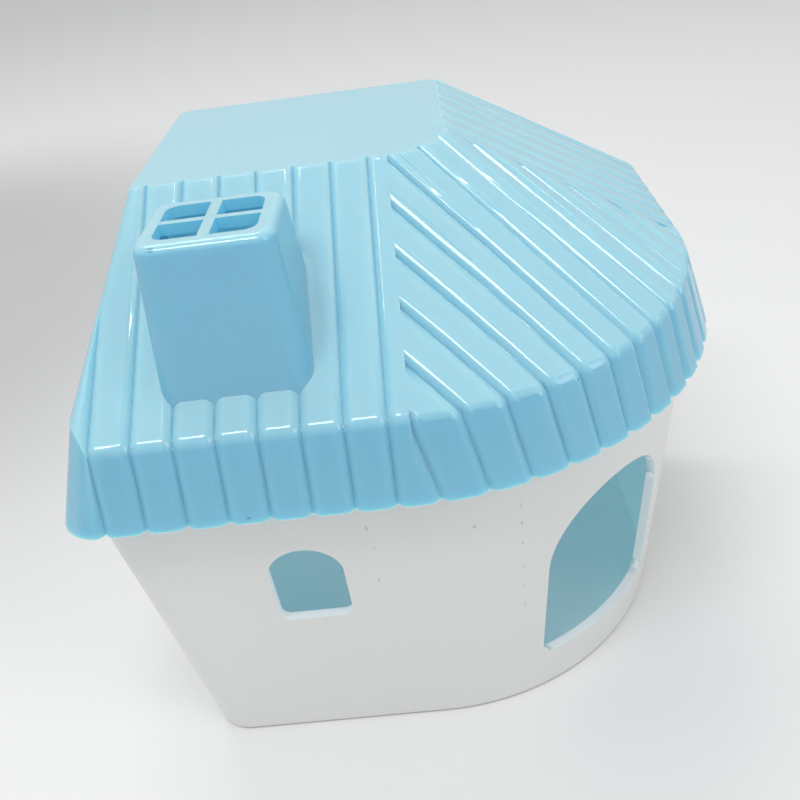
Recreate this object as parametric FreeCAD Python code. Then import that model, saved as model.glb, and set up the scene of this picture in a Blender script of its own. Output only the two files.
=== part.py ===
"""Small animal house: a drafted corner-shaped base under a loose ribbed roof.

Frame: origin on the floor under the middle of the house, +Z up. The wall with
the window faces -Y, and the door is in the big rounded wall between -Y and +X.
All lengths are millimetres and all angles degrees.
"""
import FreeCAD
import Part
import math
import os

# Roof plan, measured along the bend between the slopes and the skirt
ROOF_WIDTH = 121.5
ROOF_DEPTH = 108.0
ROUND_WALL_RADIUS = 62.5
ROOF_CORNER_RADIUS = 3.6
FRONT_CORNER_RADIUS = 9.0

# Roof upward from the floor, and the shape between its levels
EAVE_HEIGHT = 69.8
SKIRT_HEIGHT = 15.3
SLOPE_RISE = 28.6
PLATEAU_CORNER_RADIUS = 14.0
BACK_GABLE_INSET = 3.0
SKIRT_FLARE = 4.5
BEND_RADIUS = 3.6
PLATEAU_EDGE_RADIUS = 1.8

# Roof shell, and the ledge in it that rests on the rim of the base
ROOF_WALL = 2.2
SKIRT_WALL = 2.0
LEDGE_RISE = 4.2
LEDGE_WIDTH = 1.4
LEDGE_DRAFT = 9.0
RIM_CLEARANCE = 0.3

# Round-shouldered grooves in the roof, with broad ribs left between them
GROOVE_DEPTH = 1.2
SHOULDER_RADIUS = 2.4
SHOULDER_LEAD = 0.02
GROOVE_RUN_OUT = 1.2
GROOVE_PITCH = 7.39
PLAIN_MARGIN = 3.4
CORNER_GROOVE_PITCH = 6.95
CORNER_GROOVE_SHIFT = -1.7
SEAM_TO_STRAIGHT_GROOVE = 2.4
SEAM_TO_CORNER_GROOVE = 1.5
SLOPE_STATIONS = 2
BEND_STATIONS = 2

# Chimney with its grille of four vents
CHIMNEY_X = -29.6
CHIMNEY_Y = -34.6
CHIMNEY_WIDTH = 23.5
CHIMNEY_DEPTH = 21.0
CHIMNEY_RISE = 3.0
CHIMNEY_DRAFT = 4.3
CHIMNEY_CORNER_RADIUS = 3.6
CHIMNEY_EDGE_RADIUS = 1.8
CHIMNEY_RIM = 3.0
CHIMNEY_WALL = 2.0
GRILLE_THICKNESS = 2.0
GRILLE_BAR = 2.0
GRILLE_CROSS_BAR = 1.5
VENT_CORNER_RADIUS = 2.4

# Base, an open tub that widens upward
BASE_WALL = 2.0
BASE_FLOOR = 2.0
BASE_DRAFT = 5.9
BASE_CORNER_RADIUS = 8.0
BASE_FOOT_RADIUS = 1.5

# Window in the front wall
WINDOW_X = -24.1
WINDOW_WIDTH = 14.5
WINDOW_SILL = 40.0
WINDOW_SHOULDER = 52.0
WINDOW_TOP = 57.8
WINDOW_CORNER_RADIUS = 2.0

# Door in the rounded wall, its bearing turned from +X towards +Y
DOOR_BEARING = -49.0
DOOR_WIDTH = 34.8
DOOR_SILL = 12.0
DOOR_SHOULDER = 39.0
DOOR_TOP = 56.7
DOOR_CORNER_RADIUS = 3.0

# Axis of the big rounded wall, shared by the roof, its ribs and the door
ROUND_X = ROOF_WIDTH / 2 - ROUND_WALL_RADIUS
ROUND_Y = ROUND_WALL_RADIUS - ROOF_DEPTH / 2

BEND_HEIGHT = EAVE_HEIGHT + SKIRT_HEIGHT
PLATEAU_HEIGHT = BEND_HEIGHT + SLOPE_RISE
LEDGE_HEIGHT = EAVE_HEIGHT + LEDGE_RISE
SLOPE = math.atan(SLOPE_RISE / (ROUND_WALL_RADIUS - PLATEAU_CORNER_RADIUS))
SLOPE_NORMAL = math.pi / 2 - SLOPE
FLARE = math.atan(SKIRT_FLARE / SKIRT_HEIGHT)
QUARTER_TURN = 90
CORNER_RIB_BEARING = -QUARTER_TURN / 2
TOUCH = 0.001
REACH = ROOF_WIDTH + ROOF_DEPTH
UP = FreeCAD.Vector(0, 0, 1)
ROUND_AXIS = FreeCAD.Vector(ROUND_X, ROUND_Y, 0)


def rounded_rectangle(left, right, front, back, radius, height):
    """Closed level wire with rounded corners."""
    corners = ((left, front, 1, 1), (right, front, -1, 1), (right, back, -1, -1), (left, back, 1, -1))
    arcs = []
    for turn, (x, y, to_x, to_y) in enumerate(corners):
        centre = FreeCAD.Vector(x + to_x * radius, y + to_y * radius, height)
        angles = [math.pi + (turn + part) * math.pi / 2 for part in (0, 0.5, 1)]
        arcs.append([centre + FreeCAD.Vector(math.cos(a), math.sin(a), 0) * radius for a in angles])
    edges = []
    for points, following in zip(arcs, arcs[1:] + arcs[:1]):
        edges.append(Part.Arc(*points).toShape())
        edges.append(Part.makeLine(points[-1], following[0]))
    return Part.Wire(edges)


def level_edges(shape, height):
    """Edges that lie wholly at one height."""
    return [edge for edge in shape.Edges
            if all(abs(vertex.Z - height) < TOUCH for vertex in edge.Vertexes)]


def skirt_grow(height, depth=0.0):
    """How far the skirt stands outside the bend, a depth below its outer face."""
    return (BEND_HEIGHT - height) * math.tan(FLARE) - depth / math.cos(FLARE)


def bend_centre():
    """Growth and height of the axis of the rounded bend under the slope."""
    run_in = BEND_RADIUS * (math.tan(FLARE) / math.cos(SLOPE) - 1 / math.cos(FLARE))
    grow = run_in / (1 - math.tan(SLOPE) * math.tan(FLARE))
    return FreeCAD.Vector(grow, 0, BEND_HEIGHT - BEND_RADIUS / math.cos(SLOPE) - math.tan(SLOPE) * grow)


def outward(angle):
    """Unit vector in an upright section, turned up from level by an angle."""
    return FreeCAD.Vector(math.cos(angle), 0, math.sin(angle))


def roof_profile(depth, bottom, top_grow):
    """Upright section through skirt, rounded bend and slope, X being the growth."""
    run_in = depth * (math.tan(FLARE) / math.cos(SLOPE) - 1 / math.cos(FLARE))
    grow = run_in / (1 - math.tan(SLOPE) * math.tan(FLARE))
    bend_height = BEND_HEIGHT - depth / math.cos(SLOPE) - math.tan(SLOPE) * grow
    bend = FreeCAD.Vector(grow, 0, bend_height)
    eave = FreeCAD.Vector(skirt_grow(bottom, depth), 0, bottom)
    crest = FreeCAD.Vector(top_grow, 0, PLATEAU_HEIGHT - depth)
    down, upward = (eave - bend).normalize(), (crest - bend).normalize()
    half_angle = down.getAngle(upward) / 2
    radius = BEND_RADIUS - depth
    start = bend + down * (radius / math.tan(half_angle))
    end = bend + upward * (radius / math.tan(half_angle))
    middle = bend + (down + upward).normalize() * (radius / math.sin(half_angle) - radius)
    inner_top = FreeCAD.Vector(-ROUND_WALL_RADIUS, 0, crest.z)
    inner_bottom = FreeCAD.Vector(-ROUND_WALL_RADIUS, 0, bottom)
    edges = [Part.makeLine(eave, start), Part.Arc(start, middle, end).toShape(), Part.makeLine(end, crest)]
    corners = (crest, inner_top, inner_bottom, eave)
    edges += [Part.makeLine(a, b) for a, b in zip(corners, corners[1:])]
    return Part.Face(Part.Wire(edges))


def gable_side(section, turn, distance):
    """Body behind a gable face, its section turned to the side and run along it."""
    face = section.copy()
    face.translate(FreeCAD.Vector(distance, -REACH, 0))
    body = face.extrude(FreeCAD.Vector(0, 2 * REACH, 0))
    box = section.BoundBox
    corner = FreeCAD.Vector(distance - ROUND_WALL_RADIUS - REACH, -REACH, box.ZMin)
    body = body.fuse(Part.makeBox(REACH, 2 * REACH, box.ZLength, corner))
    body.rotate(FreeCAD.Vector(), UP, turn)
    return body


def house_body(section, left_section, back_section):
    """Body on the plan of the house, from the upright sections of its eave sides and its two gables."""
    box = section.BoundBox
    right = section.copy()
    right.translate(FreeCAD.Vector(ROOF_WIDTH / 2, ROUND_Y, 0))
    front = right.copy()
    front.rotate(ROUND_AXIS, UP, -QUARTER_TURN)
    rest = Part.makeBox(REACH, REACH, box.ZLength, FreeCAD.Vector(ROUND_X - REACH, ROUND_Y, box.ZMin))
    blocks = [right.extrude(FreeCAD.Vector(0, REACH, 0)), front.extrude(FreeCAD.Vector(-REACH, 0, 0)), rest]
    body = right.revolve(ROUND_AXIS, UP, -QUARTER_TURN).fuse(blocks).removeSplitter()
    left_side = gable_side(left_section, 2 * QUARTER_TURN, ROOF_WIDTH / 2)
    back_side = gable_side(back_section, QUARTER_TURN, ROOF_DEPTH / 2)
    return body.common(left_side).common(back_side).Solids[0]


def corner_edges(shape):
    """Edges that climb the sharp corners of a body, not those where its round wall runs out flat."""
    edges = []
    for edge in shape.Edges:
        heights = [vertex.Z for vertex in edge.Vertexes]
        middle = edge.valueAt((edge.FirstParameter + edge.LastParameter) / 2)
        on_round = abs(middle.x - ROUND_X) < TOUCH or abs(middle.y - ROUND_Y) < TOUCH
        if max(heights) - min(heights) > TOUCH and not on_round:
            edges.append(edge)
    return edges


def roof_body(depth, bottom):
    """Solid whose slopes, gables, plateau and skirt lie a depth below the outer face."""
    crest_grow = (BEND_HEIGHT - depth / math.cos(SLOPE) - PLATEAU_HEIGHT + depth) / math.tan(SLOPE)
    top = PLATEAU_HEIGHT - depth
    return house_body(roof_profile(depth, bottom, crest_grow),
                      leaning_section(skirt_grow(bottom, depth), skirt_grow(top, depth), bottom, top),
                      roof_profile(depth, bottom, -BACK_GABLE_INSET - depth))


def leaning_section(low_grow, high_grow, bottom, top):
    """Upright section of an even wall that leans from one growth to another."""
    inner = -ROUND_WALL_RADIUS
    corners = [FreeCAD.Vector(grow, 0, height) for grow, height in
               ((inner, bottom), (low_grow, bottom), (high_grow, top), (inner, top))]
    return Part.Face(Part.makePolygon(corners + corners[:1]))


def leaning_body(low_grow, high_grow, bottom, top, corner_radius):
    """Body whose walls all lean from one growth at its bottom to another at its top."""
    section = leaning_section(low_grow, high_grow, bottom, top)
    body = house_body(section, section, section)
    return body.makeFillet(corner_radius, corner_edges(body))


def front_corner_trim():
    """What the rounder front corner takes off between the eave and the slope."""
    rounded = leaning_body(skirt_grow(EAVE_HEIGHT), skirt_grow(PLATEAU_HEIGHT), EAVE_HEIGHT, PLATEAU_HEIGHT,
                           FRONT_CORNER_RADIUS)
    size = FRONT_CORNER_RADIUS + SKIRT_FLARE
    corner = FreeCAD.Vector(-ROOF_WIDTH / 2 - SKIRT_FLARE, -ROOF_DEPTH / 2 - SKIRT_FLARE, EAVE_HEIGHT)
    return Part.makeBox(size, size, PLATEAU_HEIGHT - EAVE_HEIGHT, corner).cut(rounded)


def groove_section(origin, across, out):
    """Closed wire of one groove between the round shoulders of two ribs."""
    turn = math.acos(1 - (GROOVE_DEPTH + SHOULDER_LEAD) / SHOULDER_RADIUS)
    half = SHOULDER_RADIUS * math.sin(turn)

    def shoulder(side, angle):
        height = SHOULDER_LEAD + SHOULDER_RADIUS * (math.cos(angle) - 1)
        return origin + across * (side * (half - SHOULDER_RADIUS * math.sin(angle))) + out * height

    left = [shoulder(-1, angle) for angle in (0, turn / 2, turn)]
    right = [shoulder(1, angle) for angle in (turn, turn / 2, 0)]
    lid = out * GROOVE_DEPTH
    edges = [Part.Arc(*left).toShape(), Part.Arc(*right).toShape()]
    corners = [right[-1], right[-1] + lid, left[0] + lid, left[0]]
    edges += [Part.makeLine(a, b) for a, b in zip(corners, corners[1:])]
    return Part.Wire(edges)


def straight_groove():
    """Cutter of one groove square to the right eave, its middle on Y = 0."""
    centre, level = bend_centre(), FreeCAD.Vector(0, 1, 0)
    end = centre + outward(SLOPE_NORMAL) * BEND_RADIUS
    crest = FreeCAD.Vector(PLATEAU_CORNER_RADIUS - ROUND_WALL_RADIUS, 0, PLATEAU_HEIGHT)
    run_out = outward(math.pi - SLOPE) * GROOVE_RUN_OUT
    section = Part.Face(groove_section(end, level, outward(SLOPE_NORMAL)))
    bend_angle = math.degrees(SLOPE_NORMAL - FLARE)
    lower = section.copy()
    lower.rotate(centre, level, bend_angle)
    down = outward(FLARE - math.pi / 2) * (2 * SKIRT_HEIGHT)
    cutter = section.extrude(crest - end + run_out).fuse([
        section.revolve(centre, level, bend_angle), lower.extrude(down)])
    cutter.translate(FreeCAD.Vector(ROOF_WIDTH / 2, 0, 0))
    return cutter


def straight_grooves():
    """Cutters for the grooves that run square to the right and front eaves."""
    groove = straight_groove()
    cutters = []
    run = SEAM_TO_STRAIGHT_GROOVE
    while ROUND_Y + run < ROOF_DEPTH / 2 - PLAIN_MARGIN:
        cutter = groove.copy()
        cutter.translate(FreeCAD.Vector(0, ROUND_Y + run, 0))
        cutters.append(cutter)
        run += GROOVE_PITCH
    run = SEAM_TO_STRAIGHT_GROOVE
    while ROUND_X - run > PLAIN_MARGIN - ROOF_WIDTH / 2:
        cutter = groove.copy()
        cutter.translate(FreeCAD.Vector(-ROUND_X, 0, 0))
        cutter.rotate(FreeCAD.Vector(), UP, -QUARTER_TURN)
        cutter.translate(FreeCAD.Vector(ROUND_X - run, ROUND_Y, 0))
        cutters.append(cutter)
        run += GROOVE_PITCH
    return cutters


def skin_stations(start):
    """Radius, height and normal angle at stations down the slope, round the bend and below the eave."""
    centre = bend_centre()
    slope_end = centre.x + BEND_RADIUS * math.cos(SLOPE_NORMAL)
    stations = []
    first = min(start, slope_end - 2 * SHOULDER_RADIUS)
    for number in range(SLOPE_STATIONS):
        growth = first + (slope_end - first) * number / SLOPE_STATIONS
        stations.append((growth, BEND_HEIGHT - growth * math.tan(SLOPE), SLOPE_NORMAL))
    for number in range(BEND_STATIONS + 1):
        angle = SLOPE_NORMAL + (FLARE - SLOPE_NORMAL) * number / BEND_STATIONS
        point = centre + outward(angle) * BEND_RADIUS
        stations.append((point.x, point.z, angle))
    foot = EAVE_HEIGHT - SKIRT_HEIGHT / 2
    stations.append((skirt_grow(foot), foot, FLARE))
    return stations


def corner_groove(offset, along):
    """Cutter of one slanting groove, its middle an offset beside the round wall's axis."""
    side = UP.cross(along)
    seam = math.hypot(abs(offset) + SEAM_TO_CORNER_GROOVE * math.sqrt(2), offset)
    start = max(seam, PLATEAU_CORNER_RADIUS - GROOVE_RUN_OUT)
    path = []
    for growth, height, normal in skin_stations(start - ROUND_WALL_RADIUS):
        radius = ROUND_WALL_RADIUS + growth
        radial = (along * math.sqrt(radius ** 2 - offset ** 2) + side * offset) * (1 / radius)
        out = radial * math.cos(normal) + UP * math.sin(normal)
        path.append((ROUND_AXIS + radial * radius + UP * height, out))
    pieces = []
    for (here, out_here), (there, out_there) in zip(path, path[1:]):
        run = there - here
        across = (out_here + out_there).cross(run).normalize()
        lead = run * (2 * SHOULDER_RADIUS / run.Length)
        section = groove_section(here - lead, across, run.cross(across).normalize())
        pieces.append(Part.Face(section).extrude(run + lead * 2))
    return pieces[0].fuse(pieces[1:])


def corner_grooves():
    """Cutters for the parallel slanting grooves of the rounded corner."""
    bearing = math.radians(CORNER_RIB_BEARING)
    along = FreeCAD.Vector(math.cos(bearing), math.sin(bearing), 0)
    reach = ROUND_WALL_RADIUS * math.sin(math.pi / 4)
    count = int(reach / CORNER_GROOVE_PITCH)
    offsets = [CORNER_GROOVE_SHIFT + number * CORNER_GROOVE_PITCH for number in range(-count, count + 1)]
    height = PLATEAU_HEIGHT + CHIMNEY_RISE
    fan_corner = ROUND_AXIS + FreeCAD.Vector(SEAM_TO_CORNER_GROOVE, -SEAM_TO_CORNER_GROOVE - REACH, 0)
    plateau = Part.makeCylinder(PLATEAU_CORNER_RADIUS - GROOVE_RUN_OUT, height, ROUND_AXIS)
    zone = Part.makeBox(REACH, REACH, height, fan_corner).cut(plateau)
    return [corner_groove(offset, along).common(zone) for offset in offsets if abs(offset) < reach]


def ribbed_skin():
    """Outer solid of the roof with its corners rounded and its grooves cut."""
    outer = roof_body(0.0, EAVE_HEIGHT)
    outer = outer.makeFillet(ROOF_CORNER_RADIUS, corner_edges(outer)).cut(front_corner_trim())
    outer = outer.makeFillet(PLATEAU_EDGE_RADIUS, level_edges(outer, PLATEAU_HEIGHT))
    return outer.cut(straight_grooves() + corner_grooves())


def tapered_box(width, depth, radius, bottom, top):
    """Upright box on the chimney's axis, drafted and rounded; the sizes are those of its top."""
    widen = (top - bottom) * math.tan(math.radians(CHIMNEY_DRAFT))
    sides = []
    for half, turn in ((width / 2, 0), (depth / 2, QUARTER_TURN)):
        corners = [FreeCAD.Vector(x, -REACH, z) for x, z in
                   ((-half - widen, bottom), (half + widen, bottom), (half, top), (-half, top))]
        side = Part.Face(Part.makePolygon(corners + corners[:1])).extrude(FreeCAD.Vector(0, 2 * REACH, 0))
        side.rotate(FreeCAD.Vector(), UP, turn)
        sides.append(side)
    body = sides[0].common(sides[1])
    body.translate(FreeCAD.Vector(CHIMNEY_X, CHIMNEY_Y, 0))
    return body.makeFillet(radius, corner_edges(body))


def chimney_outside():
    """Outer body of the chimney, run down through the slope under it."""
    top = PLATEAU_HEIGHT + CHIMNEY_RISE
    body = tapered_box(CHIMNEY_WIDTH, CHIMNEY_DEPTH, CHIMNEY_CORNER_RADIUS, BEND_HEIGHT, top)
    return body.makeFillet(CHIMNEY_EDGE_RADIUS, level_edges(body, top))


def chimney_shaft():
    """Hollow of the chimney up to the underside of the grille."""
    top = PLATEAU_HEIGHT + CHIMNEY_RISE - GRILLE_THICKNESS
    widen = 2 * GRILLE_THICKNESS * math.tan(math.radians(CHIMNEY_DRAFT)) - 2 * CHIMNEY_WALL
    return tapered_box(CHIMNEY_WIDTH + widen, CHIMNEY_DEPTH + widen, CHIMNEY_CORNER_RADIUS - CHIMNEY_WALL,
                       LEDGE_HEIGHT, top)


def vents():
    """The four openings of the grille, rounded only at its outer corners."""
    half_width, half_depth = CHIMNEY_WIDTH / 2 - CHIMNEY_RIM, CHIMNEY_DEPTH / 2 - CHIMNEY_RIM
    top = PLATEAU_HEIGHT + CHIMNEY_RISE
    outline = rounded_rectangle(CHIMNEY_X - half_width, CHIMNEY_X + half_width,
                                CHIMNEY_Y - half_depth, CHIMNEY_Y + half_depth,
                                VENT_CORNER_RADIUS, top - 2 * GRILLE_THICKNESS)
    opening = Part.Face(outline).extrude(UP * (3 * GRILLE_THICKNESS))
    bar_corner = FreeCAD.Vector(CHIMNEY_X - GRILLE_BAR / 2, CHIMNEY_Y - CHIMNEY_DEPTH / 2, 0)
    cross_corner = FreeCAD.Vector(CHIMNEY_X - CHIMNEY_WIDTH / 2, CHIMNEY_Y - GRILLE_CROSS_BAR / 2, 0)
    bar = Part.makeBox(GRILLE_BAR, CHIMNEY_DEPTH, 2 * top, bar_corner)
    cross_bar = Part.makeBox(CHIMNEY_WIDTH, GRILLE_CROSS_BAR, 2 * top, cross_corner)
    return opening.cut([bar, cross_bar])


def roof_hollow():
    """Inside of the roof: the room in the skirt, and the room above the ledge."""
    skirt_bottom = EAVE_HEIGHT - ROOF_WALL
    skirt_room = leaning_body(skirt_grow(skirt_bottom, SKIRT_WALL), skirt_grow(LEDGE_HEIGHT, SKIRT_WALL),
                              skirt_bottom, LEDGE_HEIGHT, FRONT_CORNER_RADIUS - SKIRT_WALL)
    ledge_grow = skirt_grow(LEDGE_HEIGHT, SKIRT_WALL) - LEDGE_WIDTH
    lean = (PLATEAU_HEIGHT - LEDGE_HEIGHT) * math.tan(math.radians(LEDGE_DRAFT))
    inside_ledge = leaning_body(ledge_grow, ledge_grow - lean, LEDGE_HEIGHT, PLATEAU_HEIGHT,
                                ROOF_CORNER_RADIUS)
    return skirt_room, roof_body(ROOF_WALL, LEDGE_HEIGHT).common(inside_ledge)


def roof():
    """One ribbed shell with its chimney, open underneath."""
    skirt_room, attic = roof_hollow()
    shell = ribbed_skin().fuse(chimney_outside())
    return shell.cut([skirt_room, attic, chimney_shaft(), vents()]).Solids[0]


def arched_opening(width, sill, shoulder, top, corner_radius):
    """Face of an arched opening in the XZ plane, its middle on X = 0."""
    half = width / 2
    left, right = FreeCAD.Vector(-half, 0, shoulder), FreeCAD.Vector(half, 0, shoulder)
    low_left, low_right = FreeCAD.Vector(-half, 0, sill), FreeCAD.Vector(half, 0, sill)
    edges = [Part.makeLine(right, low_right), Part.makeLine(low_right, low_left),
             Part.makeLine(low_left, left), Part.Arc(left, FreeCAD.Vector(0, 0, top), right).toShape()]
    prism = Part.Face(Part.Wire(edges)).extrude(FreeCAD.Vector(0, REACH, 0))
    lower = [edge for edge in prism.Edges
             if edge.Length > REACH - TOUCH and edge.Vertexes[0].Z < sill + TOUCH]
    return prism.makeFillet(corner_radius, lower)


def base_grow(height):
    """How far the base stands outside the bend line; at the rim it just clears the skirt."""
    at_rim = skirt_grow(LEDGE_HEIGHT, SKIRT_WALL) - RIM_CLEARANCE
    return at_rim - (LEDGE_HEIGHT - height) * math.tan(math.radians(BASE_DRAFT))


def base():
    """Open tub with its window and door."""
    outside = leaning_body(base_grow(0), base_grow(LEDGE_HEIGHT), 0, LEDGE_HEIGHT, BASE_CORNER_RADIUS)
    outside = outside.makeFillet(BASE_FOOT_RADIUS, level_edges(outside, 0))
    hollow = leaning_body(base_grow(BASE_FLOOR) - BASE_WALL, base_grow(LEDGE_HEIGHT) - BASE_WALL,
                          BASE_FLOOR, LEDGE_HEIGHT, BASE_CORNER_RADIUS - BASE_WALL)
    window = arched_opening(WINDOW_WIDTH, WINDOW_SILL, WINDOW_SHOULDER, WINDOW_TOP, WINDOW_CORNER_RADIUS)
    window.translate(FreeCAD.Vector(WINDOW_X, -REACH, 0))
    door = arched_opening(DOOR_WIDTH, DOOR_SILL, DOOR_SHOULDER, DOOR_TOP, DOOR_CORNER_RADIUS)
    door.rotate(FreeCAD.Vector(), UP, DOOR_BEARING - QUARTER_TURN)
    door.translate(ROUND_AXIS)
    return outside.cut([hollow, window, door])


if __name__ == "__main__":
    os.makedirs("parts", exist_ok=True)
    for name, shape in (("base", base()), ("roof", roof())):
        shape.exportStep("parts/" + name + ".step")
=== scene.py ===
"""Small animal house: a white moulded base under a pale-blue ribbed roof.

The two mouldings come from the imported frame. This file lowers the sill of the
window, gives both their plastic, and sets the floor, the lights and the camera.
"""

import math

import bpy
from mathutils import Matrix, Vector


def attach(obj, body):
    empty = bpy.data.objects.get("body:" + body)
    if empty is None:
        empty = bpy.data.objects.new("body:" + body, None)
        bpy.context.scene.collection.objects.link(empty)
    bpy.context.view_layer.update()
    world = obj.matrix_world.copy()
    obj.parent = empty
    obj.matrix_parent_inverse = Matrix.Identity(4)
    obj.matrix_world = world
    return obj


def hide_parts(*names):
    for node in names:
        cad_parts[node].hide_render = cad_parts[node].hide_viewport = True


bl_info = {
    "name": "Small Animal House",
    "version": (1, 0, 0),
    "blender": (4, 5, 0),
    "location": "View3D > Sidebar > Animal House",
    "description": "Finishes a moulded small animal house and its studio",
    "category": "Object",
}

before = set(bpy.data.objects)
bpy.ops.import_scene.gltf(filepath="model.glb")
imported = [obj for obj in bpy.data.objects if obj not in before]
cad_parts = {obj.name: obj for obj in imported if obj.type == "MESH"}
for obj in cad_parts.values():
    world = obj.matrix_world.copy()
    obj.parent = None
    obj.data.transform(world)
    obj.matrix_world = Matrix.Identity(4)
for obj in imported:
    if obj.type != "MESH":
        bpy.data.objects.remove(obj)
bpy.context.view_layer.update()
MM = 0.001

# How the triangles of a moulding are joined and shaded
MERGE_DISTANCE = 0.001 * MM
FLAT_ANGLE = math.radians(0.3)
SMOOTH_ANGLE = math.radians(26)

# Upright axis of the rounded corner in x and y, and how far the normals of its
# tub wall, skirt and slope look up
ROUND_AXIS = (-1.75 * MM, 8.5 * MM)
ROUND_NORMALS = tuple(math.radians(angle) for angle in (-5.9, 16.4, 59.5))
SAME_FACE = math.cos(math.radians(11))

# Room round the lower corners of the window, and how far they move down the wall
SILL_LEFT, SILL_RIGHT = -32.5 * MM, -15.5 * MM
SILL_BACK = -40 * MM
SILL_BOTTOM, SILL_TOP = 30 * MM, 44 * MM
SILL_SHIFT = Vector((0, 0.217 * MM, -2.1 * MM))

# Chimney: its middle, half sizes of its shaft, reach of its walls, and heights
SHAFT_MIDDLE = (-29.6 * MM, -34.6 * MM)
SHAFT_REACH = (10.6 * MM, 9.4 * MM)
SHAFT_FOOT = 95 * MM
SHAFT_TOP = 112 * MM
CHIMNEY_REACH = 16 * MM
WALL_TILT = 0.15
SHAFT_TILT = 0.5

# Base: height below which its floor lies, height of its rim, and how far out
# the planes of its walls lie
FLOOR_HEIGHT = 5 * MM
RIM_HEIGHT = 73.5 * MM
WALL_OUTWARDNESS = 40 * MM

# Lumps for each metre in the faint patterns of the plastic
ROOF_CLOUDS = 25.0
BASE_CLOUDS = 30.0
ROOF_RUBBED = 90.0
BASE_RUBBED = 70.0
SINK_MARKS = 60.0
MOULD_GRAIN = 2500.0

CLOUD_BLUE = (0.12, 0.45, 0.66)
ROOF_GLOSS = 0.85
# Painted glow in the grooves: how far a hollow reaches, and the glow's share on upright faces
GROOVE_DISTANCE = 1.8 * MM
WALL_GROOVE_SHARE = 0.45
LIGHT_WANDER = 3.5 * MM
LIGHT_WANDER_RGB = (0.6, 1.0, 1.2)

# Specks of dirt: middle and half sizes of each in millimetres
ROOF_DIRT = (0.10, 0.28, 0.38)
ROOF_SPECKS = (
    ((29.0, -46.1, 83.9), (0.35, 0.35, 0.35)),
    ((-37.8, -44.7, 116.2), (0.8, 0.5, 0.5)),
    ((-30.1, -58.2, 70.9), (0.5, 0.5, 0.3)),
)
BASE_DIRT = (0.46, 0.49, 0.49)
BASE_SPECKS = (
    ((-10.95, -53.6, 61.9), (0.22, 0.6, 0.9)),
    ((-10.3, -53.0, 56.3), (0.2, 0.6, 0.4)),
    ((-10.6, -52.1, 47.2), (0.18, 0.6, 0.9)),
    ((8.6, -52.4, 58.5), (0.4, 0.6, 0.5)),
    ((17.5, -50.4, 60.7), (0.12, 0.6, 1.2)),
    ((17.5, -49.9, 56.1), (0.2, 0.6, 0.7)),
    ((17.5, -49.3, 50.5), (0.28, 0.6, 0.4)),
    ((17.5, -48.6, 43.5), (0.15, 0.6, 0.6)),
    ((17.4, -48.0, 37.8), (0.2, 0.6, 0.4)),
    ((17.3, -47.4, 31.7), (0.12, 0.6, 1.0)),
)

# Paper floor: a painted pool of light under the house and a patch of painted shade on the
# left, each with its middle and its inner and outer distance in metres
FLOOR_WIDTH = 6.0
PAINTED_LIGHT_POOL = ((0.03, -0.06, 0), 0.10, 0.45)
BEYOND_POOL_SHARE = 0.99
PAINTED_SHADE_PATCH = ((-0.28, 0.21, 0), 0.08, 0.34)
PAINTED_SHADE_SHARE = 0.66

# Soft boxes: name, place, width and depth in metres, and watts
SOFT_BOXES = (
    ("ceiling_front", (-0.15, -0.335, 0.86), (0.60, 0.17), 2.85),
    ("ceiling_back", (-0.18, 0.36, 0.84), (0.45, 0.10), 1.5),
    ("right_fill", (0.90, -0.45, 0.50), (0.6, 0.5), 1.6),
)
LIT_POINT = (0, 0, 0.06)
SKY_COLOUR = (0.97, 0.98, 1.0, 1)


class RoofSettings(bpy.types.PropertyGroup):
    """Plastic of the ribbed roof and its chimney."""

    wall_colour: bpy.props.FloatVectorProperty(
        name="Wall Colour", description="Blue of the faces that stand upright",
        subtype="COLOR", size=3, min=0, max=1, default=(0.19, 0.49, 0.64))
    # Painted light: a paler blue painted on the faces that look up, where light falls from above
    painted_light_colour: bpy.props.FloatVectorProperty(
        name="Slope Colour", description="Paler blue of the faces that look up into the light",
        subtype="COLOR", size=3, min=0, max=1, default=(0.385, 0.65, 0.725))
    roughness: bpy.props.FloatProperty(
        name="Roughness", description="How soft its reflections are",
        subtype="FACTOR", min=0, max=1, default=0.09)
    # Painted glow: emission inside the chimney that stands for light through its walls
    shaft_glow: bpy.props.FloatVectorProperty(
        name="Shaft Glow", description="Light that comes through the chimney's walls",
        subtype="COLOR", size=3, min=0, max=1, default=(0.03, 0.15, 0.22))
    # Painted glow: emission in the grooves that stands for light carried through the plastic
    groove_glow: bpy.props.FloatVectorProperty(
        name="Groove Glow", description="Light that wanders through the plastic into the grooves",
        subtype="COLOR", size=3, min=0, max=1, default=(0.14, 0.17, 0.15))
    milkiness: bpy.props.FloatProperty(
        name="Milkiness", description="Share of the light that wanders inside the plastic",
        subtype="FACTOR", min=0, max=1, default=0.9)


class BaseSettings(bpy.types.PropertyGroup):
    """Plastic of the white base."""

    colour: bpy.props.FloatVectorProperty(
        name="Colour", description="White of the plastic",
        subtype="COLOR", size=3, min=0, max=1, default=(0.73, 0.745, 0.73))
    # Painted glow: emission inside the tub that stands for light through the blue roof
    inside_glow: bpy.props.FloatVectorProperty(
        name="Inside Glow", description="Light that the blue roof lets through to the inside",
        subtype="COLOR", size=3, min=0, max=1, default=(0.07, 0.15, 0.175))
    # Painted glow: emission on the edges of the openings that stands for light carried by the wall
    edge_glow: bpy.props.FloatVectorProperty(
        name="Edge Glow", description="Light that the wall carries to the edges of its openings",
        subtype="COLOR", size=3, min=0, max=1, default=(0.16, 0.19, 0.195))
    roughness: bpy.props.FloatProperty(
        name="Roughness", description="How soft its reflections are",
        subtype="FACTOR", min=0, max=1, default=0.35)


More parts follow.
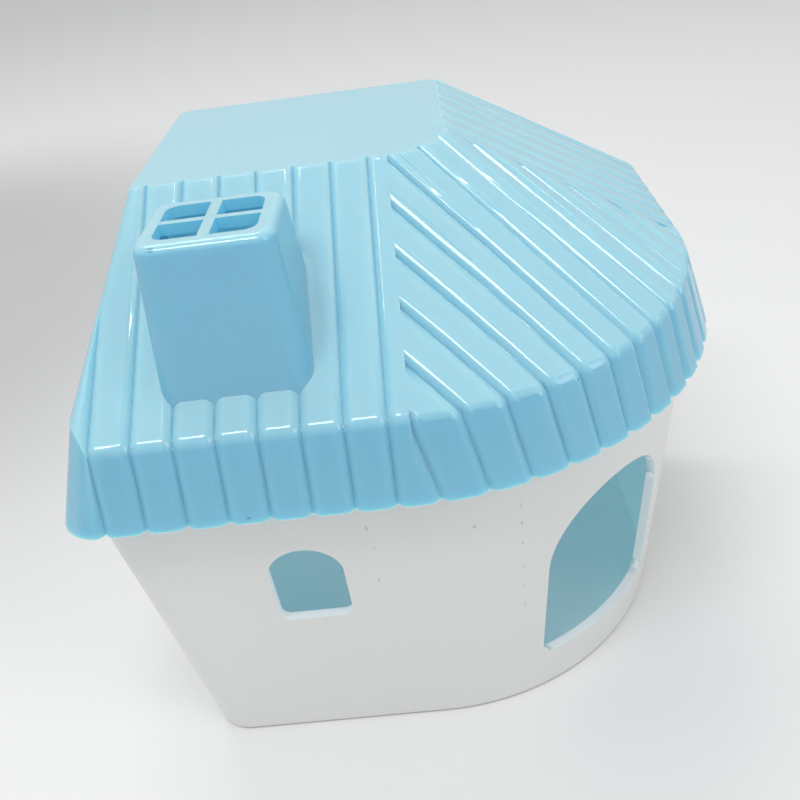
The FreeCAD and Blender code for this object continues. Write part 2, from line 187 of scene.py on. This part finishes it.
class StageSettings(bpy.types.PropertyGroup):
    """Floor, lights and camera of the studio."""

    floor_colour: bpy.props.FloatVectorProperty(
        name="Floor Colour", description="White of the paper floor",
        subtype="COLOR", size=3, min=0, max=1, default=(0.81, 0.81, 0.805))
    sky: bpy.props.FloatProperty(
        name="Room Light", description="Strength of the even light of the room",
        min=0, default=0.64)
    camera_place: bpy.props.FloatVectorProperty(
        name="Camera Place", description="Where the camera stands",
        subtype="TRANSLATION", unit="LENGTH", size=3, default=(0.0068, -0.1756, 0.1684))
    camera_azimuth: bpy.props.FloatProperty(
        name="Camera Azimuth", description="Turn of the camera about the upright",
        subtype="ANGLE", default=math.radians(3.86))
    camera_elevation: bpy.props.FloatProperty(
        name="Camera Elevation", description="How steeply the camera looks down",
        subtype="ANGLE", default=math.radians(33.10))
    camera_roll: bpy.props.FloatProperty(
        name="Camera Roll", description="Tilt of the picture",
        subtype="ANGLE", default=math.radians(-8.50))
    lens: bpy.props.FloatProperty(
        name="Lens", description="Focal length on a 36 mm wide sensor",
        subtype="DISTANCE_CAMERA", default=39.98)


def new_material(name):
    """Empty node material with its Principled shader and the piece's own coordinates."""
    material = bpy.data.materials.new(name)
    material.use_nodes = True
    tree = material.node_tree
    shader = tree.nodes["Principled BSDF"]
    place = tree.nodes.new("ShaderNodeTexCoord")
    return material, tree, shader, place.outputs["Object"]


def noise(tree, place, lumps):
    """Noise over the piece's own coordinates, with so many lumps for each metre."""
    texture = tree.nodes.new("ShaderNodeTexNoise")
    texture.inputs["Scale"].default_value = lumps
    texture.inputs["Detail"].default_value = 3.0
    tree.links.new(place, texture.inputs["Vector"])
    return texture.outputs["Fac"]


def shade(colour, share):
    """Colour darkened to a share of itself."""
    return tuple(share * channel for channel in colour)


def blend_colours(tree, factor, low, high):
    """Colour that runs from low to high as the factor does."""
    mix = tree.nodes.new("ShaderNodeMix")
    mix.data_type = "RGBA"
    for socket, value in ((mix.inputs["A"], low), (mix.inputs["B"], high)):
        if isinstance(value, bpy.types.NodeSocket):
            tree.links.new(value, socket)
        else:
            socket.default_value = (*value, 1)
    tree.links.new(factor, mix.inputs["Factor"])
    return mix.outputs["Result"]


def spread(tree, value, low, high, from_low=0.3, from_high=0.7):
    """Value between two bounds, carried over to low to high."""
    scale = tree.nodes.new("ShaderNodeMapRange")
    scale.inputs["From Min"].default_value = from_low
    scale.inputs["From Max"].default_value = from_high
    scale.inputs["To Min"].default_value = low
    scale.inputs["To Max"].default_value = high
    tree.links.new(value, scale.inputs["Value"])
    return scale.outputs["Result"]


def bump(tree, place, lumps, strength, height):
    """Node that makes a surface look uneven."""
    node = tree.nodes.new("ShaderNodeBump")
    node.inputs["Strength"].default_value = strength
    node.inputs["Distance"].default_value = height
    tree.links.new(noise(tree, place, lumps), node.inputs["Height"])
    return node


def wavy_gloss(tree, shader, place, strength):
    """Faint sink marks and mould grain that break up the reflections."""
    marks = bump(tree, place, SINK_MARKS, strength, 0.3 * MM)
    grain = bump(tree, place, MOULD_GRAIN, 0.1, 0.05 * MM)
    tree.links.new(marks.outputs["Normal"], grain.inputs["Normal"])
    tree.links.new(grain.outputs["Normal"], shader.inputs["Normal"])


def upward(tree):
    """0 on upright faces, rising to 1 on level ones that look up; it sets where painted light goes
    on the roof.
    """
    geometry = tree.nodes.new("ShaderNodeNewGeometry")
    parts = tree.nodes.new("ShaderNodeSeparateXYZ")
    tree.links.new(geometry.outputs["Normal"], parts.inputs["Vector"])
    return spread(tree, parts.outputs["Z"], 0, 1, 0.25, 0.95)


def vector_step(tree, operation, first, second=None):
    """Output of one step of vector arithmetic."""
    node = tree.nodes.new("ShaderNodeVectorMath")
    node.operation = operation
    tree.links.new(first, node.inputs[0])
    if second is not None:
        node.inputs[1].default_value = second
    return node.outputs["Value" if operation in ("LENGTH", "DISTANCE") else "Vector"]


def specks(tree, place, spots):
    """1 in small dark specks of dirt, and 0 elsewhere."""
    found = None
    for middle, half in spots:
        offset = vector_step(tree, "SUBTRACT", place, shade(middle, MM))
        ratio = vector_step(tree, "DIVIDE", offset, shade(half, MM))
        spot = spread(tree, vector_step(tree, "LENGTH", ratio), 1, 0, 0.4, 1.0)
        if found:
            both = tree.nodes.new("ShaderNodeMath")
            both.operation = "MAXIMUM"
            tree.links.new(found, both.inputs[0])
            tree.links.new(spot, both.inputs[1])
            spot = both.outputs["Value"]
        found = spot
    return found


def rubbed(tree, shader, place, lumps, roughness, change):
    """Roughness that wanders a little over the surface."""
    rough = spread(tree, noise(tree, place, lumps), roughness - change, roughness + change)
    tree.links.new(rough, shader.inputs["Roughness"])


def painted_groove_glow(tree, glow):
    """Painted glow in the grooves, an emission that lifts their shade, weaker where they run down
    the skirt.
    """
    hollow = tree.nodes.new("ShaderNodeAmbientOcclusion")
    hollow.inputs["Distance"].default_value = GROOVE_DISTANCE
    hollow.samples = 4
    lit = blend_colours(tree, upward(tree), shade(glow, WALL_GROOVE_SHARE), glow)
    open_share = spread(tree, hollow.outputs["AO"], 0, 1, 0.3, 1.0)
    return blend_colours(tree, open_share, lit, (0, 0, 0))


def roof_plastic(settings):
    """Glossy, milky blue plastic, painted paler where it looks up and with a painted glow in its
    grooves.
    """
    material, tree, shader, place = new_material("roof_plastic")
    # Painted light: the blue runs from the wall colour to a paler blue painted on faces that look
    # up
    colour = blend_colours(tree, upward(tree), settings.wall_colour, settings.painted_light_colour)
    cloud = spread(tree, noise(tree, place, ROOF_CLOUDS), 0, 0.05)
    colour = blend_colours(tree, cloud, colour, CLOUD_BLUE)
    colour = blend_colours(tree, specks(tree, place, ROOF_SPECKS), colour, ROOF_DIRT)
    tree.links.new(colour, shader.inputs["Base Color"])
    rubbed(tree, shader, place, ROOF_RUBBED, settings.roughness, 0.03)
    shader.inputs["Specular IOR Level"].default_value = ROOF_GLOSS
    # Painted glow lifts the shade in the grooves
    tree.links.new(painted_groove_glow(tree, settings.groove_glow), shader.inputs["Emission Color"])
    shader.inputs["Emission Strength"].default_value = 1.0
    shader.inputs["Subsurface Weight"].default_value = settings.milkiness
    shader.inputs["Subsurface Radius"].default_value = LIGHT_WANDER_RGB
    shader.inputs["Subsurface Scale"].default_value = LIGHT_WANDER
    wavy_gloss(tree, shader, place, 0.2)
    return material


def base_plastic(settings):
    """Satin white plastic with a few specks and scratches."""
    material, tree, shader, place = new_material("base_plastic")
    cloud = noise(tree, place, BASE_CLOUDS)
    colour = blend_colours(tree, cloud, shade(settings.colour, 0.98), settings.colour)
    colour = blend_colours(tree, specks(tree, place, BASE_SPECKS), colour, BASE_DIRT)
    tree.links.new(colour, shader.inputs["Base Color"])
    rubbed(tree, shader, place, BASE_RUBBED, settings.roughness, 0.04)
    wavy_gloss(tree, shader, place, 0.15)
    return material


def painted_glow_plastic(name, plastic, light, roughness):
    """Plastic with a painted glow, an emission that stands for light coming through it from behind.
    """
    material, tree, shader, place = new_material(name)
    cloud = noise(tree, place, BASE_CLOUDS)
    colour = blend_colours(tree, cloud, shade(plastic, 0.97), plastic)
    tree.links.new(colour, shader.inputs["Base Color"])
    # Painted glow: emission colour with a faint random wander
    glow = blend_colours(tree, cloud, shade(light, 0.94), light)
    tree.links.new(glow, shader.inputs["Emission Color"])
    shader.inputs["Emission Strength"].default_value = 1.0
    shader.inputs["Roughness"].default_value = roughness
    wavy_gloss(tree, shader, place, 0.15)
    return material


def true_round_normals(mesh):
    """Gives the rounded corner the normals of its true curve, not those of its facets."""
    normals = [corner.vector.copy() for corner in mesh.corner_normals]
    for face in mesh.polygons:
        if face.center.x < ROUND_AXIS[0] or face.center.y > ROUND_AXIS[1]:
            continue
        for loop in face.loop_indices:
            point = mesh.vertices[mesh.loops[loop].vertex_index].co
            radial = Vector((point.x - ROUND_AXIS[0], point.y - ROUND_AXIS[1], 0))
            if radial.length < MM:
                continue
            radial.normalize()
            for angle in ROUND_NORMALS:
                true = radial * math.cos(angle) + Vector((0, 0, math.sin(angle)))
                side = true.dot(face.normal)
                if abs(side) > SAME_FACE:
                    normals[loop] = true if side > 0 else -true
    mesh.normals_split_custom_set(normals)


def lower_window_sill(mesh):
    """Moves the lower corners of the window down along the slope of its wall."""
    for vertex in mesh.vertices:
        x, y, z = vertex.co
        if SILL_LEFT < x < SILL_RIGHT and y < SILL_BACK and SILL_BOTTOM < z < SILL_TOP:
            vertex.co = vertex.co + SILL_SHIFT


def off_shaft(face):
    """How far a face's middle lies beside the chimney's, in x and in y."""
    return abs(face.center.x - SHAFT_MIDDLE[0]), abs(face.center.y - SHAFT_MIDDLE[1])


def sharpen_chimney_foot(mesh):
    """Sharp edges where the chimney's upright walls meet the grooved slope."""
    walls = {}
    for face in mesh.polygons:
        wall = max(off_shaft(face)) < CHIMNEY_REACH and abs(face.normal.z) < WALL_TILT
        for edge in face.edge_keys:
            walls.setdefault(edge, []).append(wall)
    for edge in mesh.edges:
        low = min(mesh.vertices[index].co.z for index in edge.vertices) < SHAFT_TOP
        if low and set(walls[edge.key]) == {True, False}:
            edge.use_edge_sharp = True


def moulded_copy(node, name, before=None, after=None):
    """Copy of a moulding with its triangles joined and its round edges shaded smooth.

    Before works on the copy's loose triangles, after on its shaded mesh.
    """
    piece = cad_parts[node].copy()
    piece.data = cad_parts[node].data.copy()
    piece.name = piece.data.name = name
    piece.data.materials.clear()
    if before:
        before(piece.data)
    bpy.context.scene.collection.objects.link(piece)
    bpy.ops.object.select_all(action="DESELECT")
    piece.select_set(True)
    bpy.context.view_layer.objects.active = piece
    bpy.ops.object.mode_set(mode="EDIT")
    bpy.ops.mesh.select_all(action="SELECT")
    bpy.ops.mesh.remove_doubles(threshold=MERGE_DISTANCE)
    bpy.ops.mesh.dissolve_limited(angle_limit=FLAT_ANGLE)
    bpy.ops.mesh.select_all(action="DESELECT")
    bpy.ops.object.mode_set(mode="OBJECT")
    bpy.ops.object.shade_smooth_by_angle(angle=SMOOTH_ANGLE)
    if after:
        after(piece.data)
    even = piece.modifiers.new("even_normals", "WEIGHTED_NORMAL")
    even.keep_sharp = True
    bpy.ops.object.modifier_apply(modifier=even.name)
    true_round_normals(piece.data)
    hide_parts(node)
    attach(piece, "root")
    return piece


def grow_over(mesh, seed, angle):
    """Faces that join the seed face over edges that turn less than the angle."""
    sides = {}
    for face in mesh.polygons:
        for edge in face.edge_keys:
            sides.setdefault(edge, []).append(face.index)
    found, front = {seed}, [seed]
    limit = math.cos(angle)
    while front:
        face = mesh.polygons[front.pop()]
        for edge in face.edge_keys:
            for other in sides[edge]:
                if other not in found and mesh.polygons[other].normal.dot(face.normal) > limit:
                    found.add(other)
                    front.append(other)
    return found


def outwardness(face):
    """How far a face's plane lies outside the upright axis of the house, in metres."""
    return face.normal.x * face.center.x + face.normal.y * face.center.y


def paint_shaft(mesh):
    """Second material, with a painted glow, on the upright faces inside the chimney."""
    for face in mesh.polygons:
        across, along = off_shaft(face)
        within = across < SHAFT_REACH[0] and along < SHAFT_REACH[1]
        if within and face.center.z > SHAFT_FOOT and abs(face.normal.z) < SHAFT_TILT:
            face.material_index = 1


def paint_inside(mesh):
    """Second material on the faces inside the tub, third on the edges of its openings; both carry a
    painted glow.
    """
    def region(test):
        seed = max((face for face in mesh.polygons if test(face)), key=lambda face: face.area)
        return grow_over(mesh, seed.index, SMOOTH_ANGLE)

    floor = region(lambda face: face.normal.z > 0.9 and face.center.z < FLOOR_HEIGHT)
    walls = region(lambda face: outwardness(face) < -WALL_OUTWARDNESS)
    outside = region(lambda face: outwardness(face) > WALL_OUTWARDNESS)
    for face in mesh.polygons:
        if face.index in floor or face.index in walls:
            face.material_index = 1
        elif face.index not in outside and face.center.z <= RIM_HEIGHT:
            face.material_index = 2


class OBJECT_OT_house_roof(bpy.types.Operator):
    """Finish the ribbed roof and its chimney"""

    bl_idname = "object.house_roof"
    bl_label = "Finish Roof"

    def execute(self, context):
        settings = context.scene.house_roof
        piece = moulded_copy("roof", "house_roof", after=sharpen_chimney_foot)
        piece.data.materials.append(roof_plastic(settings))
        piece.data.materials.append(painted_glow_plastic(
            "shaft_painted_glow", settings.wall_colour, settings.shaft_glow, settings.roughness))
        paint_shaft(piece.data)
        return {"FINISHED"}


class OBJECT_OT_house_base(bpy.types.Operator):
    """Finish the white base"""

    bl_idname = "object.house_base"
    bl_label = "Finish Base"

    def execute(self, context):
        settings = context.scene.house_base
        piece = moulded_copy("base", "house_base", before=lower_window_sill)
        piece.data.materials.append(base_plastic(settings))
        # Materials with a painted glow inside the tub and on the edges of its openings
        for name, light in (("inside_painted_glow", settings.inside_glow),
                            ("edge_painted_glow", settings.edge_glow)):
            piece.data.materials.append(
                painted_glow_plastic(name, settings.colour, light, settings.roughness))
        paint_inside(piece.data)
        return {"FINISHED"}


def soft_box(name, place, size, watts):
    """Soft box turned towards the house, its width kept square to the Y axis."""
    data = bpy.data.lights.new(name, "AREA")
    data.shape = "RECTANGLE"
    data.size, data.size_y = size
    data.energy = watts
    light = bpy.data.objects.new(name, data)
    bpy.context.scene.collection.objects.link(light)
    light.location = place
    back = (Vector(place) - Vector(LIT_POINT)).normalized()
    side = Vector((0, 1, 0)).cross(back).normalized()
    light.rotation_euler = Matrix((side, back.cross(side), back)).transposed().to_euler()


def near(tree, place, middle, inner, outer):
    """1 within the inner distance of a place on the floor, falling softly to 0 at the outer one."""
    distance = vector_step(tree, "DISTANCE", place, middle)
    factor = spread(tree, distance, 1, 0, inner, outer)
    factor.node.interpolation_type = "SMOOTHERSTEP"
    return factor


def studio_floor(settings):
    """Plain paper floor with a painted pool of light under the house and painted shade on the left.
    """
    bpy.ops.object.select_all(action="DESELECT")
    bpy.ops.mesh.primitive_plane_add(size=FLOOR_WIDTH, location=(0, 0, 0))
    floor = bpy.context.object
    floor.name = "studio_floor"
    material, tree, shader, place = new_material("paper")
    paper = tuple(settings.floor_colour)
    # Painted light under the house, then painted shade on the left
    colour = blend_colours(tree, near(tree, place, *PAINTED_LIGHT_POOL), shade(paper, BEYOND_POOL_SHARE), paper)
    colour = blend_colours(tree, near(tree, place, *PAINTED_SHADE_PATCH), colour, shade(paper, PAINTED_SHADE_SHARE))
    tree.links.new(colour, shader.inputs["Base Color"])
    shader.inputs["Roughness"].default_value = 0.9
    shader.inputs["Specular IOR Level"].default_value = 0.1
    floor.data.materials.append(material)


def studio_sky(settings):
    """Even light of the room."""
    world = bpy.data.worlds.new("studio_world")
    world.use_nodes = True
    sky = world.node_tree.nodes["Background"]
    sky.inputs["Color"].default_value = SKY_COLOUR
    sky.inputs["Strength"].default_value = settings.sky
    bpy.context.scene.world = world


def studio_camera(settings):
    """Camera at the photograph's place and angle."""
    data = bpy.data.cameras.new("studio_camera")
    data.sensor_width = 36.0
    data.sensor_fit = "HORIZONTAL"
    data.lens = settings.lens
    data.clip_start = 5 * MM
    camera = bpy.data.objects.new("studio_camera", data)
    bpy.context.scene.collection.objects.link(camera)
    turn = (Matrix.Rotation(settings.camera_azimuth, 4, "Z")
            @ Matrix.Rotation(math.pi / 2 - settings.camera_elevation, 4, "X")
            @ Matrix.Rotation(settings.camera_roll, 4, "Z"))
    camera.matrix_world = Matrix.Translation(settings.camera_place) @ turn
    bpy.context.scene.camera = camera


class OBJECT_OT_house_stage(bpy.types.Operator):
    """Set the floor, the lights and the camera"""

    bl_idname = "object.house_stage"
    bl_label = "Set Stage"

    def execute(self, context):
        settings = context.scene.house_stage
        context.scene.view_settings.view_transform = "Standard"
        studio_sky(settings)
        for box in SOFT_BOXES:
            soft_box(*box)
        studio_floor(settings)
        studio_camera(settings)
        return {"FINISHED"}


class VIEW3D_PT_animal_house(bpy.types.Panel):
    """Panel with the colours and settings of the house"""

    bl_label = "Small Animal House"
    bl_space_type = "VIEW_3D"
    bl_region_type = "UI"
    bl_category = "Animal House"

    def draw(self, context):
        for operator, settings in ((OBJECT_OT_house_roof, context.scene.house_roof),
                                   (OBJECT_OT_house_base, context.scene.house_base),
                                   (OBJECT_OT_house_stage, context.scene.house_stage)):
            box = self.layout.box()
            box.operator(operator.bl_idname)
            for name in settings.__annotations__:
                box.prop(settings, name)


CLASSES = (RoofSettings, BaseSettings, StageSettings, OBJECT_OT_house_roof,
           OBJECT_OT_house_base, OBJECT_OT_house_stage, VIEW3D_PT_animal_house)


def register():
    for cls in CLASSES:
        bpy.utils.register_class(cls)
    bpy.types.Scene.house_roof = bpy.props.PointerProperty(type=RoofSettings)
    bpy.types.Scene.house_base = bpy.props.PointerProperty(type=BaseSettings)
    bpy.types.Scene.house_stage = bpy.props.PointerProperty(type=StageSettings)


def unregister():
    del bpy.types.Scene.house_stage
    del bpy.types.Scene.house_base
    del bpy.types.Scene.house_roof
    for cls in reversed(CLASSES):
        bpy.utils.unregister_class(cls)


def main():
    register()
    bpy.ops.object.house_roof()
    bpy.ops.object.house_base()
    bpy.ops.object.house_stage()


if __name__ == "__main__":
    main()
